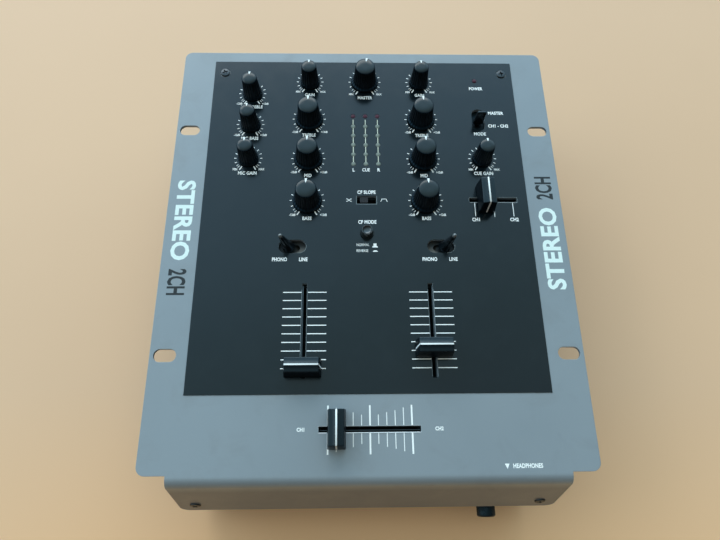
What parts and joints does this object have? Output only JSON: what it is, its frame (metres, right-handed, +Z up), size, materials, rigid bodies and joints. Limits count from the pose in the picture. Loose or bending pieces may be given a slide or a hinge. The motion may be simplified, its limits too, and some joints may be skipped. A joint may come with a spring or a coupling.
{
  "type": "dj mixer",
  "caption": "Compact two-channel DJ mixer on a ten-inch rack plate, with tone knobs, sliding faders, a crossfader, source levers and a headphone socket on the front.",
  "frame": {"origin": "on the table, midway between the four feet and under the middle of the top plate; the feet stand on z = 0", "axes": "+X to the right across the plate, +Y from the front fold to the rear panel, +Z up"},
  "size_m": [0.254, 0.3147, 0.1079],
  "materials": {
    "plate_paint": "satin blue-grey enamel",
    "panel_overlay": "satin printed overlay",
    "black_paint": "black textured enamel",
    "rubber": "matt",
    "zinc_screw": "zinc plated",
    "black_screw": "black oxide",
    "board": "green solder mask",
    "brass": "turned",
    "fader_steel": "pressed steel",
    "switch_plastic": "moulded",
    "lamp_pale": "diffused lens",
    "lamp_red": "tinted lens",
    "socket_plastic": "moulded",
    "nickel": "nickel plated",
    "knob_plastic": "satin moulded",
    "cap_plastic": "satin moulded",
    "lever_plastic": "satin moulded"
  },
  "bodies": {
    "chassis": {"top_plate": "plate_paint", "control_panel": "panel_overlay", "bottom_tray": "black_paint", "rear_panel": "black_paint", "foot_front_left": "rubber", "foot_front_right": "rubber", "foot_rear_left": "rubber", "foot_rear_right": "rubber", "foot_screws": "zinc_screw", "plate_screws": "black_screw", "flange_screws": "black_screw", "rear_screws": "black_screw", "control_board": "board", "board_standoffs": "brass", "board_screws": "zinc_screw", "channel_fader_left": "fader_steel", "channel_fader_right": "fader_steel", "crossfader_body": "fader_steel", "cue_fader_body": "fader_steel", "rotary_pots": "fader_steel", "source_switch_left": "switch_plastic", "source_switch_right": "switch_plastic", "mode_switch_body": "switch_plastic", "slope_switch_body": "switch_plastic", "button_switch_body": "switch_plastic", "green_leds": "lamp_pale", "red_leds": "lamp_red", "power_led": "lamp_red", "headphone_jack": "socket_plastic", "headphone_washer": "nickel", "headphone_nut": "socket_plastic", "io_board": "board", "rca_block_left": "socket_plastic", "rca_block_middle": "socket_plastic", "rca_block_right": "socket_plastic", "mic_jack": "socket_plastic", "ground_post": "nickel", "power_inlet": "socket_plastic"},
    "ch1_gain_knob": {"ch1_gain_knob": "knob_plastic"},
    "ch1_treble_knob": {"ch1_treble_knob": "knob_plastic"},
    "ch1_mid_knob": {"ch1_mid_knob": "knob_plastic"},
    "ch1_bass_knob": {"ch1_bass_knob": "knob_plastic"},
    "ch2_gain_knob": {"ch2_gain_knob": "knob_plastic"},
    "ch2_treble_knob": {"ch2_treble_knob": "knob_plastic"},
    "ch2_mid_knob": {"ch2_mid_knob": "knob_plastic"},
    "ch2_bass_knob": {"ch2_bass_knob": "knob_plastic"},
    "master_knob": {"master_knob": "knob_plastic"},
    "mic_treble_knob": {"mic_treble_knob": "knob_plastic"},
    "mic_bass_knob": {"mic_bass_knob": "knob_plastic"},
    "mic_gain_knob": {"mic_gain_knob": "knob_plastic"},
    "cue_gain_knob": {"cue_gain_knob": "knob_plastic"},
    "ch1_fader_cap": {"ch1_fader_cap": "cap_plastic"},
    "ch2_fader_cap": {"ch2_fader_cap": "cap_plastic"},
    "crossfader_cap": {"crossfader_cap": "cap_plastic"},
    "cue_fader_cap": {"cue_fader_cap": "cap_plastic"},
    "source_lever_left": {"source_lever_left": "lever_plastic"},
    "source_lever_right": {"source_lever_right": "lever_plastic"},
    "mode_lever": {"mode_lever": "lever_plastic"},
    "slope_slider": {"slope_slider": "lever_plastic"},
    "mode_button": {"mode_button": "lever_plastic"}
  },
  "joints": [
    {"name": "ch1_gain_turn", "type": "hinge", "parent": "chassis", "child": "ch1_gain_knob", "pos_m": [-0.038, 0.11739, 0.1], "axis": [0, 0, 1], "range_deg": [-150, 150]},
    {"name": "ch1_treble_turn", "type": "hinge", "parent": "chassis", "child": "ch1_treble_knob", "pos_m": [-0.038, 0.08616, 0.1], "axis": [0, 0, 1], "range_deg": [-150, 150]},
    {"name": "ch1_mid_turn", "type": "hinge", "parent": "chassis", "child": "ch1_mid_knob", "pos_m": [-0.038, 0.05493, 0.1], "axis": [0, 0, 1], "range_deg": [-150, 150]},
    {"name": "ch1_bass_turn", "type": "hinge", "parent": "chassis", "child": "ch1_bass_knob", "pos_m": [-0.038, 0.0237, 0.1], "axis": [0, 0, 1], "range_deg": [-150, 150]},
    {"name": "ch2_gain_turn", "type": "hinge", "parent": "chassis", "child": "ch2_gain_knob", "pos_m": [0.0386, 0.11739, 0.1], "axis": [0, 0, 1], "range_deg": [-150, 150]},
    {"name": "ch2_treble_turn", "type": "hinge", "parent": "chassis", "child": "ch2_treble_knob", "pos_m": [0.0386, 0.08616, 0.1], "axis": [0, 0, 1], "range_deg": [-150, 150]},
    {"name": "ch2_mid_turn", "type": "hinge", "parent": "chassis", "child": "ch2_mid_knob", "pos_m": [0.0386, 0.05493, 0.1], "axis": [0, 0, 1], "range_deg": [-150, 150]},
    {"name": "ch2_bass_turn", "type": "hinge", "parent": "chassis", "child": "ch2_bass_knob", "pos_m": [0.0386, 0.0237, 0.1], "axis": [0, 0, 1], "range_deg": [-150, 150]},
    {"name": "master_turn", "type": "hinge", "parent": "chassis", "child": "master_knob", "pos_m": [0.0003, 0.11739, 0.1], "axis": [0, 0, 1], "range_deg": [-140, 160]},
    {"name": "mic_treble_turn", "type": "hinge", "parent": "chassis", "child": "mic_treble_knob", "pos_m": [-0.0777, 0.1071, 0.1], "axis": [0, 0, 1], "range_deg": [-150, 150]},
    {"name": "mic_bass_turn", "type": "hinge", "parent": "chassis", "child": "mic_bass_knob", "pos_m": [-0.0777, 0.0816, 0.1], "axis": [0, 0, 1], "range_deg": [-154, 146]},
    {"name": "mic_gain_turn", "type": "hinge", "parent": "chassis", "child": "mic_gain_knob", "pos_m": [-0.0777, 0.0551, 0.1], "axis": [0, 0, 1], "range_deg": [-154, 146]},
    {"name": "cue_gain_turn", "type": "hinge", "parent": "chassis", "child": "cue_gain_knob", "pos_m": [0.0783, 0.0552, 0.1], "axis": [0, 0, 1], "range_deg": [-145, 155]},
    {"name": "ch1_fader_slide", "type": "slide", "parent": "chassis", "child": "ch1_fader_cap", "axis": [0, 1, 0], "range_m": [0, 0.0464]},
    {"name": "ch2_fader_slide", "type": "slide", "parent": "chassis", "child": "ch2_fader_cap", "axis": [0, 1, 0], "range_m": [-0.0111, 0.0353]},
    {"name": "crossfader_slide", "type": "slide", "parent": "chassis", "child": "crossfader_cap", "axis": [1, 0, 0], "range_m": [-0.005, 0.0422]},
    {"name": "cue_fader_slide", "type": "slide", "parent": "chassis", "child": "cue_fader_cap", "axis": [1, 0, 0], "range_m": [-0.00695, 0.01795]},
    {"name": "source_left_tilt", "type": "hinge", "parent": "chassis", "child": "source_lever_left", "pos_m": [-0.0467, -0.0085, 0.078], "axis": [0, 1, 0], "range_deg": [0, 22.6]},
    {"name": "source_right_tilt", "type": "hinge", "parent": "chassis", "child": "source_lever_right", "pos_m": [0.0467, -0.0085, 0.078], "axis": [0, 1, 0], "range_deg": [-22.6, 0]},
    {"name": "mode_tilt", "type": "hinge", "parent": "chassis", "child": "mode_lever", "pos_m": [0.0783, 0.086, 0.078], "axis": [1, 0, 0], "range_deg": [-10, 0]},
    {"name": "slope_slide", "type": "slide", "parent": "chassis", "child": "slope_slider", "axis": [1, 0, 0], "range_m": [0, 0.0033]},
    {"name": "mode_press", "type": "slide", "parent": "chassis", "child": "mode_button", "axis": [0, 0, 1], "range_m": [-0.0025, 0]}
  ]
}
